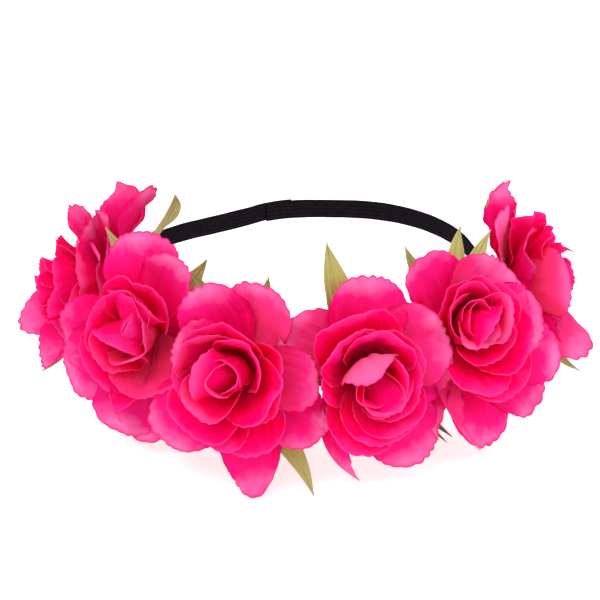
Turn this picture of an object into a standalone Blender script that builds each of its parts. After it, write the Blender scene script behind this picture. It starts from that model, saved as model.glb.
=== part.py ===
"""Flower crown: six fabric rose heads bonded along the front of a black elastic headband.

Each rose head is built the way silk flower heads are: a moulded calyx with a socket, a star of
sepals and four cut fabric rosettes threaded on a pin whose shaft is pushed into that socket. The
calyx is bonded to the outside of the elastic, and a felt disc backs it on the side of the head.
The elastic is one strip whose ends overlap at the back, where a bar tack joins them.

Metres, +Z up. The wearer looks along -Y, and the crown rests on its lowest petals at Z = 0.
"""

import math

import bmesh
import bpy
from mathutils import Matrix, Vector

MM = 0.001
UP = Vector((0.0, 0.0, 1.0))

# The elastic, and the ring that it makes round the head.
BAND_WIDTH = 10.0 * MM
BAND_THICKNESS = 1.2 * MM
FLAT_HALF = 13.5 * MM  # half of the flat length behind each rose
CLEARANCE = 0.3 * MM  # between pieces that touch

# One rose head, measured outwards from the outer face of the elastic.
FELT_RADIUS = 13.0 * MM
FELT_THICKNESS = 1.5 * MM
CALYX_FOOT_RADIUS = 9.0 * MM
CALYX_HEIGHT = 9.0 * MM
SOCKET_RADIUS = 2.3 * MM
SOCKET_DEPTH = 6.5 * MM
PIN_RADIUS = 2.0 * MM
PIN_HEAD_RADIUS = 4.6 * MM
HUB_HOLE_RADIUS = 2.4 * MM
FABRIC_THICKNESS = 0.7 * MM
HUB_STEP = 1.7 * MM  # from one rosette's hub to the next
SEPAL_HUB = CALYX_HEIGHT + 0.9 * MM

# azimuth, radius: where the rose sits on the elastic, in degrees and mm from the ring's middle.
# 0 is the forehead, and +X is positive.
# facing: the azimuth that it looks towards, because the elastic isn't round where roses crowd it.
# lean: how far the elastic twists there, so that the rose looks up, in degrees.
# turn: how far round its inner rosettes are turned, in degrees.
# guard: the way each of its guard petals points round its face and the petal's length in mm.
# 0 is to the right of someone who looks at the rose, and 90 is up.
ROSES = (
    {"azimuth": -92.0, "radius": 82.0, "facing": -74.0, "lean": 2.0, "turn": 20.0,
     "guard": ((166, 38), (96, 49), (30, 40), (-46, 41), (-104, 50))},
    {"azimuth": -53.0, "radius": 84.0, "facing": -27.0, "lean": 18.0, "turn": 50.0,
     "guard": ((104, 46), (58, 38), (-95, 50), (-140, 48), (-170, 44))},
    {"azimuth": -16.0, "radius": 88.0, "facing": -17.0, "lean": 13.0, "turn": 5.0,
     "guard": ((116, 44), (70, 42), (4, 37), (-76, 55), (-138, 46))},
    {"azimuth": 15.5, "radius": 88.0, "facing": 14.0, "lean": 11.0, "turn": 35.0,
     "guard": ((158, 36), (82, 48), (24, 38), (-56, 46), (-100, 54))},
    {"azimuth": 51.0, "radius": 85.0, "facing": 31.0, "lean": 24.0, "turn": 62.0,
     "guard": ((110, 40), (42, 38), (-14, 42), (-50, 55), (-92, 54))},
    {"azimuth": 93.0, "radius": 88.0, "facing": 84.0, "lean": 8.0, "turn": 12.0,
     "guard": ((148, 39), (90, 46), (30, 40), (-72, 56), (-130, 42))},
)

# The three inner rosettes, outermost first: petals, length, opening up and down, opening to the
# sides and how much the rim curls in, all in mm and degrees from the plane of the ring's tangent.
INNER_ROSETTES = (
    {"name": "petals_second", "count": 5, "length": 42, "rise": 36, "side_rise": 62, "curl": 22, "rings": 3},
    {"name": "petals_third", "count": 4, "length": 37, "rise": 58, "side_rise": 70, "curl": 26, "rings": 2},
    {"name": "petals_inner", "count": 3, "length": 31, "rise": 76, "side_rise": 78, "curl": 24, "rings": 2},
)
GUARD_RISE = 12.0
GUARD_SIDE_RISE = 54.0
GUARD_CURL = 6.0
SEPAL_RISE = -2.0
SEPAL_SIDE_RISE = 40.0
SEPAL_TURN = 10.0  # degrees from each guard petal to the sepal behind it
SEPAL_SHARE = 0.86  # the sepal's length, as a share of that petal's

# The free elastic behind the roses: azimuth and radius, in degrees and mm. It is not quite round,
# because the sewn overlap is stiffer than the rest.
FREE_ELASTIC = (
    (116, 90.5), (126, 91.5), (138, 92.5), (150, 92), (160, 90), (170, 87), (179, 86),
    (187, 85), (195, 82.5), (206, 79.5), (217, 79.5), (229, 83), (242, 86.5), (254, 88.5),
)
FRONT_ENDS = (-106.0, 116.0)  # where the elastic stops being held by the garland
FREE_RISE = 3.0 * MM  # how much higher it runs than behind the roses, which weigh it down
BACK_SPAN = (158.0, 206.0)  # the stretch of elastic that is pulled back
JOIN_SPAN = (183.0, 192.0)  # where the ends overlap
JOIN_THICKNESS = 1.0 * MM


def clear_scene():
    for obj in list(bpy.data.objects):
        bpy.data.objects.remove(obj)


def new_collection(name):
    collection = bpy.data.collections.new(name)
    bpy.context.scene.collection.children.link(collection)
    return collection


def new_material(name, colour, roughness):
    material = bpy.data.materials.new(name)
    material.use_nodes = True
    shader = material.node_tree.nodes["Principled BSDF"]
    shader.inputs["Base Color"].default_value = (*colour, 1.0)
    shader.inputs["Roughness"].default_value = roughness
    shader.inputs["Metallic"].default_value = 0.0
    return material


def add_object(name, mesh, material, parent=None):
    mesh.materials.append(material)
    obj = bpy.data.objects.new(name, mesh)
    CROWN.objects.link(obj)
    obj.parent = parent
    return obj


def mesh_from(bm, name):
    mesh = bpy.data.meshes.new(name)
    bm.to_mesh(mesh)
    bm.free()
    return mesh


def turned(name, profile, material, parent, steps=12):
    """A turned piece about the rose's axis, from (radius, height) points run top to bottom."""
    mesh = bpy.data.meshes.new(name)
    points = [(radius, 0.0, height) for radius, height in profile]
    mesh.from_pydata(points, [(i, i + 1) for i in range(len(points) - 1)], [])
    obj = add_object(name, mesh, material, parent)
    screw = obj.modifiers.new("turn", "SCREW")
    screw.axis = "Z"
    screw.steps = steps
    screw.render_steps = steps
    screw.use_merge_vertices = True
    screw.merge_threshold = 0.00005
    screw.use_smooth_shade = True
    return obj


def side_share(direction):
    """1 where a direction round the face points at a neighbouring rose, 0 where it points up or down."""
    return math.cos(math.radians(direction)) ** 2


def stations_of(petals, notch, shoulder):
    """(direction, length) round a rosette: each petal's tip, its two shoulders and the notches."""
    ordered = sorted(petals)
    stations = []
    for (at, length), (after, next_length) in zip(ordered, ordered[1:] + ordered[:1], strict=True):
        gap = (after - at) % 360
        stations += [
            (at, length),
            (at + 0.27 * gap, shoulder * length),
            (at + 0.5 * gap, notch * (length + next_length) / 2),
            (at + 0.73 * gap, shoulder * next_length),
        ]
    return stations


def rosette(name, petals, rise, side_rise, curl, hub_radius, hub_height, rings, material, parent,
            notch=0.62, shoulder=0.93):
    """One cut fabric rosette: a flat hub with a hole, whose petals rise from it and curl."""
    stations = stations_of(petals, notch, shoulder)
    count = len(stations)
    bm = bmesh.new()
    bmesh.ops.create_grid(bm, x_segments=count, y_segments=rings + 1, size=0.5)
    for vert in bm.verts:
        column = round((vert.co.x + 0.5) * count) % count
        row = round((vert.co.y + 0.5) * (rings + 1))
        direction, length = stations[column]
        radius, height = HUB_HOLE_RADIUS, 0.0
        if row:
            radius = hub_radius
        start = rise + (side_rise - rise) * side_share(direction)
        for step in range(row - 1):
            angle = math.radians(start + curl * (step / rings - 0.35))
            radius += length * MM / rings * math.cos(angle)
            height += length * MM / rings * math.sin(angle)
        around = math.radians(direction)
        vert.co = Vector((radius * math.cos(around), radius * math.sin(around), height))
    bmesh.ops.remove_doubles(bm, verts=bm.verts, dist=0.00001)
    bmesh.ops.recalc_face_normals(bm, faces=bm.faces)
    obj = add_object(name, mesh_from(bm, name), material, parent)
    obj.location = (0.0, 0.0, hub_height)
    solid = obj.modifiers.new("fabric", "SOLIDIFY")
    solid.thickness = FABRIC_THICKNESS
    solid.offset = 0.0
    solid.use_quality_normals = True
    obj.data.shade_smooth()
    return obj


def ring_point(azimuth, radius):
    """A point in the ring's plane. Azimuth 0 is the forehead, on -Y."""
    around = math.radians(azimuth)
    return Vector((radius * math.sin(around), -radius * math.cos(around), 0.0))


def rose_axes(rose):
    """A rose's right, up and outward directions, with the elastic's lean."""
    right = ring_point(rose["facing"] + 90, 1.0)
    lean = Matrix.Rotation(math.radians(-rose["lean"]), 3, right)
    return right, lean @ UP, lean @ ring_point(rose["facing"], 1.0)


def rose_seat(rose):
    """The middle of the elastic behind a rose."""
    return ring_point(rose["azimuth"], rose["radius"] * MM)


def front_path():
    """The elastic behind the roses, flat behind each one: points and their upward directions."""
    path = [(free_point(360 + FRONT_ENDS[0]), UP)]
    for rose in ROSES:
        right, up, _ = rose_axes(rose)
        path += [(rose_seat(rose) + right * FLAT_HALF * share, up) for share in (-1, 1)]
    path.append((free_point(FRONT_ENDS[1]), UP))
    return path


def free_path(first, last):
    """The free elastic between two azimuths, as a point every few degrees."""
    steps = max(2, round((last - first) / 6))
    return [(free_point(first + (last - first) * i / steps), UP) for i in range(steps + 1)]


def free_point(azimuth):
    return ring_point(azimuth, radius_at(azimuth, FREE_ELASTIC) * MM) + UP * FREE_RISE


def radius_at(azimuth, table):
    """Catmull-Rom through the table's points."""
    i = next(i for i in range(len(table) - 1) if azimuth <= table[i + 1][0])
    (a1, r1), (a2, r2) = table[i:i + 2]
    r0, r3 = table[max(i - 1, 0)][1], table[min(i + 2, len(table) - 1)][1]
    t = (azimuth - a1) / (a2 - a1)
    return 0.5 * (2 * r1 + (r2 - r0) * t + (2 * r0 - 5 * r1 + 4 * r2 - r3) * t * t
                  + (3 * r1 - r0 - 3 * r2 + r3) * t ** 3)


def strip(name, path, width, thickness, material, outward=0.0, trim=0.0):
    """A flat strip on edge along a path, as an open surface with Solidify.

    outward moves it off the path, away from the head. trim shortens both ends.
    """
    points = [point.copy() for point, _ in path]
    points[0] += (points[1] - points[0]).normalized() * trim
    points[-1] += (points[-2] - points[-1]).normalized() * trim
    last = len(points) - 1
    bm = bmesh.new()
    bmesh.ops.create_grid(bm, x_segments=last, y_segments=1, size=0.5)
    for vert in bm.verts:
        i = round((vert.co.x + 0.5) * last)
        up = path[i][1]
        along = (points[min(i + 1, last)] - points[max(i - 1, 0)]).normalized()
        side = 1 if vert.co.y > 0 else -1
        vert.co = points[i] + along.cross(up) * outward + up * side * width / 2
    bmesh.ops.recalc_face_normals(bm, faces=bm.faces)
    obj = add_object(name, mesh_from(bm, name), material, STAND)
    solid = obj.modifiers.new("thickness", "SOLIDIFY")
    solid.thickness = thickness
    solid.offset = 0.0
    solid.use_even_offset = True
    return obj


def elastic_band():
    """The strip in the four lengths that behave differently: held, two that stretch, and pulled."""
    strip("elastic_front", front_path(), BAND_WIDTH, BAND_THICKNESS, ELASTIC, trim=CLEARANCE / 2)
    lengths = (
        ("elastic_right_run", FRONT_ENDS[1], BACK_SPAN[0]),
        ("elastic_back", BACK_SPAN[0], BACK_SPAN[1]),
        ("elastic_left_run", BACK_SPAN[1], 360 + FRONT_ENDS[0]),
    )
    for name, first, last in lengths:
        strip(name, free_path(first, last), BAND_WIDTH, BAND_THICKNESS, ELASTIC,
              trim=CLEARANCE / 2)


def elastic_join():
    """The overlapping end of the elastic, on its outer side, and the bar tack across it."""
    off = BAND_THICKNESS / 2 + CLEARANCE + JOIN_THICKNESS / 2
    strip("elastic_overlap_end", free_path(*JOIN_SPAN), BAND_WIDTH, JOIN_THICKNESS, ELASTIC,
          outward=off)
    tack_at = JOIN_SPAN[1] - 2.2
    tack_thickness = 0.5 * MM
    off += JOIN_THICKNESS / 2 + CLEARANCE + tack_thickness / 2
    strip("bar_tack_stitching", free_path(tack_at - 0.5, tack_at + 0.5), 0.8 * BAND_WIDTH,
          tack_thickness, THREAD, outward=off)


def calyx_profile():
    """Socket floor, socket wall, rim, cup, waist and foot, in (radius, height) pairs."""
    floor = CALYX_HEIGHT - SOCKET_DEPTH
    return (
        (0.0, floor),
        (SOCKET_RADIUS, floor),
        (SOCKET_RADIUS, CALYX_HEIGHT),
        (6.0 * MM, CALYX_HEIGHT),
        (6.6 * MM, CALYX_HEIGHT - 1.6 * MM),
        (5.4 * MM, 3.6 * MM),
        (6.2 * MM, 1.6 * MM),
        (CALYX_FOOT_RADIUS, 1.2 * MM),
        (CALYX_FOOT_RADIUS, CLEARANCE),
        (0.0, CLEARANCE),
    )


def pin_profile(hub_top):
    """The bud-shaped head above the last hub, and the shaft down into the calyx."""
    head = hub_top + 0.6 * MM
    return (
        (0.0, head + 13.0 * MM),
        (1.9 * MM, head + 11.6 * MM),
        (3.8 * MM, head + 7.6 * MM),
        (PIN_HEAD_RADIUS, head + 3.4 * MM),
        (3.4 * MM, head),
        (PIN_RADIUS, head),
        (PIN_RADIUS, CALYX_HEIGHT - SOCKET_DEPTH + CLEARANCE),
        (0.0, CALYX_HEIGHT - SOCKET_DEPTH + CLEARANCE),
    )


def felt_disc(name, parent):
    """A round felt backing on the head's side of the elastic, flat against it."""
    bm = bmesh.new()
    bmesh.ops.create_cone(bm, cap_ends=True, segments=20, radius1=FELT_RADIUS,
                          radius2=FELT_RADIUS, depth=FELT_THICKNESS)
    obj = add_object(name, mesh_from(bm, name), FELT, parent)
    obj.location = (0.0, 0.0, -BAND_THICKNESS - CLEARANCE - FELT_THICKNESS / 2)
    return obj


def rose_frame(number, rose):
    """An empty on the elastic's outer face: its Z points out of the ring and its Y points up."""
    frame = bpy.data.objects.new(f"rose_{number}_frame", None)
    CROWN.objects.link(frame)
    frame.parent = STAND
    right, up, out = rose_axes(rose)
    place = rose_seat(rose) + out * BAND_THICKNESS / 2
    turn = Matrix((right, up, out)).transposed().to_4x4()
    frame.matrix_local = Matrix.Translation(place) @ turn
    return frame


def even_petals(count, length, turn):
    return [((turn + 360 * i / count + 180) % 360 - 180, length) for i in range(count)]


def rose_head(number, rose):
    """One rose: felt and calyx on the elastic, then the dropped flower threaded on its pin."""
    frame = rose_frame(number, rose)
    prefix = f"rose_{number}_"
    felt_disc(prefix + "felt_backing", frame)
    turned(prefix + "calyx", calyx_profile(), GREEN_PLASTIC, frame)
    sepals = [(direction + SEPAL_TURN, SEPAL_SHARE * length) for direction, length in rose["guard"]]
    rosette(prefix + "sepals", sepals, SEPAL_RISE, SEPAL_SIDE_RISE, 0.0, 7.0 * MM, SEPAL_HUB, 2,
            SEPAL, frame, notch=0.16, shoulder=0.34)
    hub = SEPAL_HUB + HUB_STEP
    rosette(prefix + "petals_guard", rose["guard"], GUARD_RISE, GUARD_SIDE_RISE, GUARD_CURL,
            7.5 * MM, hub, 3, PETAL_OUTER, frame)
    for i, layer in enumerate(INNER_ROSETTES):
        hub += HUB_STEP
        petals = even_petals(layer["count"], layer["length"], rose["turn"] + 40 * i)
        rosette(prefix + layer["name"], petals, layer["rise"], layer["side_rise"], layer["curl"],
                (6.6 - 0.9 * i) * MM, hub, layer["rings"], PETAL_INNER, frame, notch=0.7)
    turned(prefix + "pin", pin_profile(hub + FABRIC_THICKNESS / 2), CORE, frame, steps=10)


def stand_on_ground():
    """Moves the stand so that the crown's box has its lower middle at the origin."""
    bpy.context.view_layer.update()
    graph = bpy.context.evaluated_depsgraph_get()
    low, high = Vector((math.inf,) * 3), Vector((-math.inf,) * 3)
    for obj in CROWN.objects:
        if obj.type == "EMPTY":
            continue
        placed = obj.evaluated_get(graph)
        for vert in placed.to_mesh().vertices:
            point = placed.matrix_world @ vert.co
            low = Vector(map(min, low, point))
            high = Vector(map(max, high, point))
        placed.to_mesh_clear()
    STAND.location -= Vector(((low.x + high.x) / 2, (low.y + high.y) / 2, low.z))


clear_scene()
CROWN = new_collection("flower_crown")
STAND = bpy.data.objects.new("stand", None)
CROWN.objects.link(STAND)
ELASTIC = new_material("elastic", (0.012, 0.010, 0.013), 0.85)
THREAD = new_material("thread", (0.10, 0.09, 0.11), 0.7)
FELT = new_material("felt", (0.015, 0.013, 0.016), 0.95)
GREEN_PLASTIC = new_material("calyx_plastic", (0.16, 0.22, 0.05), 0.45)
SEPAL = new_material("sepal_fabric", (0.38, 0.36, 0.09), 0.7)
PETAL_OUTER = new_material("petal_fabric_outer", (0.90, 0.09, 0.32), 0.75)
PETAL_INNER = new_material("petal_fabric_inner", (0.85, 0.02, 0.17), 0.75)
CORE = new_material("pin_plastic", (0.80, 0.03, 0.20), 0.5)

elastic_band()
elastic_join()
for index, rose_data in enumerate(ROSES, start=1):
    rose_head(index, rose_data)
stand_on_ground()
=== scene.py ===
"""The flower crown's looks: fabric roses, elastic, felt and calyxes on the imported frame.

Metres, +Z up. A rose's own axes are right, up and out, with out pointing away from the head, and
its heights are measured along out from the outer face of the elastic.
"""

import math

import bpy
import numpy as np
from mathutils import Matrix, Vector


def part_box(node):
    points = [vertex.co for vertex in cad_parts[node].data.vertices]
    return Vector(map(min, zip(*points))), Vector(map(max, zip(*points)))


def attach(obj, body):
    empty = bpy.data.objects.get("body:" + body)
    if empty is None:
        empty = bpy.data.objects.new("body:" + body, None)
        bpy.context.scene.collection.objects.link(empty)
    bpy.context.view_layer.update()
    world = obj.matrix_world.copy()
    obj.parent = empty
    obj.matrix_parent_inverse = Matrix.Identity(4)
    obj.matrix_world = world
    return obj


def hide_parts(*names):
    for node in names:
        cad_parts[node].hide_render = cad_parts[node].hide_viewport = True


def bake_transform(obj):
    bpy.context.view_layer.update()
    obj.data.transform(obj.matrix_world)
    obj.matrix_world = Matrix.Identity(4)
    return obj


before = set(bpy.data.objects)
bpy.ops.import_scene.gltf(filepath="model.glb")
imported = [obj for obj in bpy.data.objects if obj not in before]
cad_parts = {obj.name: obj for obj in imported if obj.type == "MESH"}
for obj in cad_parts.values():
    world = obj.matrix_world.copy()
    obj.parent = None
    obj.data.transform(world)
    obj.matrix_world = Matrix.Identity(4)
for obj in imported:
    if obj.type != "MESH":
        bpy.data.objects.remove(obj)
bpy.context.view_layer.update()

MM = 0.001
ELASTIC_GAP = 1.5 * MM  # from a felt's outer face to the outer face of the elastic
FELT_RADIUS = 13.0 * MM
FELT_THICKNESS = 1.5 * MM
FELT_DIMPLE = 0.10 * MM
HUB_HOLE = 2.4 * MM  # radius of a rosette's hole for the pin
HUB_RADIUS = 2.6 * MM  # from a rose's axis to where its petals begin
CLOTH_THICKNESS = 0.3 * MM
PETAL_STEP = 0.12 * MM  # how much further out each petal of a rosette begins than the last one

# The elastic, whose middle line is placed by azimuth: degrees round the ring from the forehead.
STRIP_WIDTH = 10.0 * MM
STRIP_THICKNESS = 1.2 * MM
STRIP_STEP = 1.0 * MM
CORDS = 8  # lengthwise rubber cords in it
CORD_RELIEF = 0.06 * MM
LINE_BLUR, TURN_BLUR = 2.5 * MM, 4.0 * MM  # how softly its line bends and its faces turn
FLAT_HALF = 13.5 * MM  # half of the flat length behind each rose
FREE_RISE = 3.0 * MM  # how much higher it runs where no rose weighs it down
BACK_RADIUS = 86.3 * MM  # from the ring's middle to the furthest point of its back
STATION_GAP = 1.5  # degrees; corners closer than this belong to one station
RIGHT_END, LEFT_END = 116.0, 254.0  # where the roses' part stops
INNER_END, OUTER_END = 192.0, 183.0  # its two ends, which overlap
OVER_FROM, OVER_BY = 193.5, 198.0  # where its outer end climbs over the inner one
OVERLAP_RISE = 1.4 * MM
TACK_PASSES = 12
TACK_HALF = 1.1 * MM
TACK_LENGTH = 0.8 * STRIP_WIDTH
TACK_RADIUS = 0.24 * MM
TACK_SINK = 0.15 * MM  # how much further in it lies at its turns than between them
TACK_TURN = (0.55, 1.0, 0.55)  # the points of one turn, as shares of the half width
TACK_BLUR = 0.6  # points

# Heights of the rosettes' hubs above the elastic's outer face.
SEPAL_HUB = 9.9 * MM
GUARD_HUB = 11.6 * MM
SECOND_HUB = 13.3 * MM
THIRD_HUB = 15.0 * MM
INNER_HUB = 16.7 * MM

# The studio. Places are metres from the middle of the ring.
SKY_STRENGTH = 1.16
FLOOR_DEPTH = 0.8 * MM  # the lowest petals reach a little below the CAD's lowest point
FLOOR_SIZE = 8.0
FLOOR_GLOW = 0.32
KEY_PLACE, KEY_SIZE, KEY_POWER = (-0.5, -0.9, 1.3), 0.9, 11.0
FILL_PLACE, FILL_SIZE, FILL_POWER = (0.9, -0.8, 0.7), 1.0, 5.0
CAMERA_DISTANCE = 1.5
CAMERA_ELEVATION = 25.0  # degrees above the horizontal
CAMERA_LENS, CAMERA_SENSOR = 184.5, 36.0  # mm
CAMERA_DROP = 8.0 * MM  # so that the ring's middle stands a little above the picture's


# ---------------------------------------------------------------- shader nodes

def node_of(tree, kind, **values):
    """A shader node, with its properties and its sockets' values set by name."""
    node = tree.nodes.new(kind)
    for key, value in values.items():
        if key in node.inputs:
            node.inputs[key].default_value = value
        else:
            setattr(node, key, value)
    return node


def ramp(tree, factor, stops):
    """A colour ramp; each stop is (place, colour)."""
    node = tree.nodes.new("ShaderNodeValToRGB")
    elements = node.color_ramp.elements
    while len(elements) < len(stops):
        elements.new(0.5)
    for element, (place, colour) in zip(elements, stops, strict=True):
        element.position = place
        element.color = (*colour, 1.0)
    tree.links.new(factor, node.inputs["Fac"])
    return node.outputs["Color"]


def maths(tree, operation, first, second=0.0, third=0.0, clamp=False):
    """A maths node's result; each value is a number or another node's output."""
    node = tree.nodes.new("ShaderNodeMath")
    node.operation = operation
    node.use_clamp = clamp
    for socket, value in zip(node.inputs, (first, second, third), strict=True):
        if isinstance(value, bpy.types.NodeSocket):
            tree.links.new(value, socket)
        else:
            socket.default_value = value
    return node.outputs[0]


def mix_colour(tree, factor, first, second):
    """The first colour, turned into the second as far as the factor says."""
    node = tree.nodes.new("ShaderNodeMix")
    node.data_type = "RGBA"
    for name, value in (("Factor", factor), ("A", first), ("B", second)):
        socket = next(s for s in node.inputs if s.name == name and s.enabled)
        if isinstance(value, bpy.types.NodeSocket):
            tree.links.new(value, socket)
        else:
            socket.default_value = (*value, 1.0)
    return next(s for s in node.outputs if s.enabled)


def noise(tree, vector, scale, detail=3.0, roughness=0.5):
    """Soft random patches, from 0 to 1."""
    node = node_of(tree, "ShaderNodeTexNoise", Scale=scale, Detail=detail, Roughness=roughness)
    tree.links.new(vector, node.inputs["Vector"])
    return node.outputs["Fac"]


def wave(tree, vector, scale, direction):
    """Straight, evenly spaced ribs along one direction of a vector."""
    node = node_of(tree, "ShaderNodeTexWave", Scale=scale, Distortion=0.0)
    node.wave_type = "BANDS"
    node.bands_direction = direction
    tree.links.new(vector, node.inputs["Vector"])
    return node.outputs["Fac"]


def stretched(tree, vector, scale):
    """A vector with each of its three parts scaled."""
    node = node_of(tree, "ShaderNodeMapping", Scale=scale)
    tree.links.new(vector, node.inputs["Vector"])
    return node.outputs["Vector"]


def attribute(tree, name, output="Fac"):
    """What a mesh's own attribute holds at each point."""
    return node_of(tree, "ShaderNodeAttribute", attribute_name=name).outputs[output]


def bump(tree, height, strength, distance, normal=None):
    """The surface's direction with a bump on it, on top of another bump's if one is given."""
    node = node_of(tree, "ShaderNodeBump", Strength=strength, Distance=distance)
    tree.links.new(height, node.inputs["Height"])
    if normal is not None:
        tree.links.new(normal, node.inputs["Normal"])
    return node.outputs["Normal"]


def new_material(name):
    """A new material with its node tree and its main shader."""
    material = bpy.data.materials.new(name)
    material.use_nodes = True
    tree = material.node_tree
    shader = tree.nodes["Principled BSDF"]
    return material, tree, shader


def let_light_through(tree, shader, colour, share, normal=None):
    """Mixes a share of light that shines through the cloth into its shader."""
    glow = node_of(tree, "ShaderNodeBsdfTranslucent")
    tree.links.new(colour, glow.inputs["Color"])
    if normal is not None:
        tree.links.new(normal, glow.inputs["Normal"])
    mixed = node_of(tree, "ShaderNodeMixShader", Fac=share)
    tree.links.new(shader.outputs[0], mixed.inputs[1])
    tree.links.new(glow.outputs[0], mixed.inputs[2])
    tree.links.new(mixed.outputs[0], tree.nodes["Material Output"].inputs["Surface"])


# ---------------------------------------------------------------- materials

NONE, ALL = (0.0, 0.0, 0.0), (1.0, 1.0, 1.0)
PALE = (0.900, 0.220, 0.520)  # a paler pink: for paler petals and for the painted highlights on pleats and lips
DEEP = (0.800, 0.0001, 0.095)  # between the fibres
WEAVE_SCALE = 260.0
BROWN_BLUSH = (0.34, 0.17, 0.04)
WITHERED = (0.16, 0.075, 0.015)
VEIN = (0.14, 0.12, 0.02)


def petal_material(name, run_colours, edge, see_through):
    """Stiffened satin: its colour runs from the petal's base to its tip and changes at the cut edge.

    run_colours are a ramp's stops from base to tip. edge is the colour at the cut edge; on the cup petals it
    is a painted highlight. see_through is the share of light that passes. Painted highlights also lie along
    the pleats and on the lips.
    """
    material, tree, shader = new_material(name)
    cloth = attribute(tree, "cloth", "Vector")
    along = attribute(tree, "along")
    rim = attribute(tree, "rim")
    tone = attribute(tree, "tone")
    place = node_of(tree, "ShaderNodeTexCoord").outputs["Object"]
    blotch = noise(tree, place, 80.0, 3.0)
    run = maths(tree, "MULTIPLY_ADD", blotch, 0.5, maths(tree, "ADD", along, -0.25))
    colour = ramp(tree, run, run_colours)
    fibres = noise(tree, stretched(tree, cloth, (420.0, 30.0, 1.0)), 1.0, 2.0)
    colour = mix_colour(tree, maths(tree, "MULTIPLY", fibres, 0.20), colour, DEEP)
    # tone pales the colour towards PALE: each petal's own paleness, its painted lip highlight and a slight
    # random tone
    colour = mix_colour(tree, tone, colour, PALE)
    fan = attribute(tree, "fan", "Vector")
    creases = noise(tree, stretched(tree, fan, (9.0, 0.9, 1.0)), 1.0, 3.0)
    fade = maths(tree, "SUBTRACT", 1.15, along, clamp=True)
    # painted highlight: lighter pink streaks along the pleats where the crease noise is high, fading towards
    # the tip
    pleat_highlight = ramp(tree, creases, ((0.58, NONE), (0.80, ALL)))
    pleat_highlight = maths(tree, "MULTIPLY", pleat_highlight, maths(tree, "MULTIPLY", fade, 0.22))
    colour = mix_colour(tree, pleat_highlight, colour, PALE)
    # the cut edge takes the edge colour: a darker line on the outer petals, a painted highlight on the cup
    # petals
    colour = mix_colour(tree, maths(tree, "MULTIPLY", rim, 0.8), colour, edge)
    warp = wave(tree, cloth, WEAVE_SCALE, "X")
    weft = wave(tree, cloth, WEAVE_SCALE, "Y")
    weave = maths(tree, "ADD", warp, weft)
    normal = bump(tree, maths(tree, "MULTIPLY", creases, fade), 0.9, 2.2 * MM)
    normal = bump(tree, weave, 0.12, 0.1 * MM, normal)
    tree.links.new(colour, shader.inputs["Base Color"])
    tree.links.new(normal, shader.inputs["Normal"])
    shader.inputs["Roughness"].default_value = 0.65
    shader.inputs["Specular IOR Level"].default_value = 0.03
    let_light_through(tree, shader, colour, see_through, normal)
    return material


def sepal_material():
    """Waxed green-yellow cloth with veins and a brown blush; its tone says how withered it is."""
    material, tree, shader = new_material("sepal_cloth")
    along = attribute(tree, "along")
    fan = attribute(tree, "fan", "Vector")
    place = node_of(tree, "ShaderNodeTexCoord").outputs["Object"]
    colour = ramp(tree, along, ((0.0, (0.28, 0.28, 0.05)), (0.55, (0.52, 0.48, 0.12)),
                                (1.0, (0.60, 0.60, 0.21))))
    blush = ramp(tree, noise(tree, place, 45.0, 2.0), ((0.48, NONE), (0.70, ALL)))
    colour = mix_colour(tree, maths(tree, "MULTIPLY", blush, 0.30), colour, BROWN_BLUSH)
    colour = mix_colour(tree, attribute(tree, "tone"), colour, WITHERED)
    veins = noise(tree, stretched(tree, fan, (14.0, 1.2, 1.0)), 1.0, 3.0)
    colour = mix_colour(tree, maths(tree, "MULTIPLY", veins, 0.25), colour, VEIN)
    tree.links.new(colour, shader.inputs["Base Color"])
    tree.links.new(bump(tree, veins, 0.8, 0.8 * MM), shader.inputs["Normal"])
    shader.inputs["Roughness"].default_value = 0.55
    let_light_through(tree, shader, colour, 0.22)
    return material


def plastic_material(name, dark, light, roughness):
    """A matt surface, mottled a little between a dark and a light colour."""
    material, tree, shader = new_material(name)
    place = node_of(tree, "ShaderNodeTexCoord").outputs["Object"]
    patches = noise(tree, place, 350.0)
    tree.links.new(ramp(tree, patches, ((0.3, dark), (0.7, light))), shader.inputs["Base Color"])
    tree.links.new(bump(tree, patches, 0.2, 0.2 * MM), shader.inputs["Normal"])
    shader.inputs["Roughness"].default_value = roughness
    return material


def felt_material():
    """Black craft felt: dull, fluffy and slightly clumped."""
    material, tree, shader = new_material("black_felt")
    place = node_of(tree, "ShaderNodeTexCoord").outputs["Object"]
    fluff = noise(tree, place, 900.0, 6.0, 0.7)
    clumps = noise(tree, place, 160.0, 2.0)
    tree.links.new(ramp(tree, fluff, ((0.3, (0.005, 0.004, 0.006)), (0.75, (0.024, 0.021, 0.026)))),
                   shader.inputs["Base Color"])
    height = maths(tree, "ADD", fluff, clumps)
    tree.links.new(bump(tree, height, 0.8, 0.5 * MM), shader.inputs["Normal"])
    shader.inputs["Roughness"].default_value = 0.95
    shader.inputs["Specular IOR Level"].default_value = 0.1
    shader.inputs["Sheen Weight"].default_value = 0.06
    return material


def elastic_material():
    """Woven elastic: fine ribs across it and lengthwise cords of rubber under them."""
    material, tree, shader = new_material("black_elastic")
    cloth = attribute(tree, "cloth", "Vector")
    ribs = wave(tree, cloth, WEAVE_SCALE, "X")
    cords = wave(tree, cloth, 150.0, "Y")
    height = maths(tree, "ADD", maths(tree, "MULTIPLY", ribs, 0.6), cords)
    lint = noise(tree, cloth, 300.0, 3.0)
    colour = ramp(tree, maths(tree, "ADD", maths(tree, "MULTIPLY", height, 0.35), lint),
                  ((0.3, (0.0030, 0.0022, 0.0036)), (1.0, (0.0100, 0.0078, 0.0112))))
    tree.links.new(colour, shader.inputs["Base Color"])
    tree.links.new(bump(tree, height, 0.6, 0.25 * MM), shader.inputs["Normal"])
    shader.inputs["Roughness"].default_value = 0.9
    shader.inputs["Specular IOR Level"].default_value = 0.04
    return material


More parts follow.
